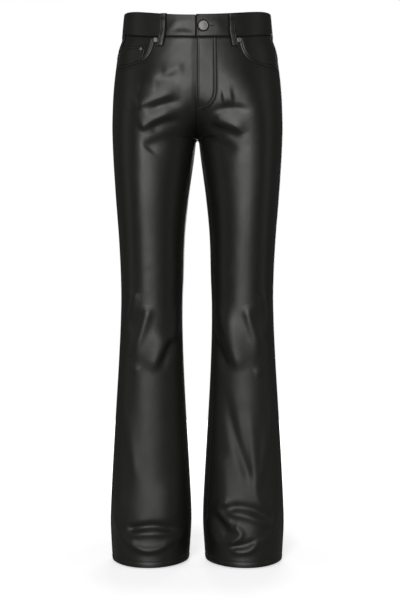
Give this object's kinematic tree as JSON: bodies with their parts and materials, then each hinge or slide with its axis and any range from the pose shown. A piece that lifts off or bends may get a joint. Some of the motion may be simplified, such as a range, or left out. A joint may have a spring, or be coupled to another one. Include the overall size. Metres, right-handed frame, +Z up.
{
  "type": "flared leather trousers",
  "caption": "Flared five-pocket leather trousers in a hollow worn form, with belt loops, scooped front pockets, a coin pocket, a closed fly and a metal button.",
  "frame": {"origin": "the middle of the waist opening, level with the waistband's upper edge at the sides", "axes": "+Z up along the body, +X towards the wearer's left, -Y the front"},
  "size_m": [0.3456, 0.2279, 1.1028],
  "materials": {
    "leather": "black nappa leather with a soft satin sheen",
    "nickel": "dull antique nickel",
    "zip_tape": "black zip tape and teeth"
  },
  "bodies": {
    "root": {"back_left": "leather", "back_pocket_left": "leather", "back_pocket_right": "leather", "back_right": "leather", "belt_loop_back": "leather", "belt_loop_front_left": "leather", "belt_loop_front_right": "leather", "belt_loop_side_left": "leather", "belt_loop_side_right": "leather", "button": "nickel", "coin_pocket": "leather", "fly_zip": "zip_tape", "front_left": "leather", "front_right": "leather", "pocket_bearer_left": "leather", "pocket_bearer_right": "leather", "rivet_coin": "nickel", "rivet_left": "nickel", "rivet_right": "nickel", "waistband_left": "leather", "waistband_right": "leather", "yoke_left": "leather", "yoke_right": "leather"}
  },
  "joints": []
}
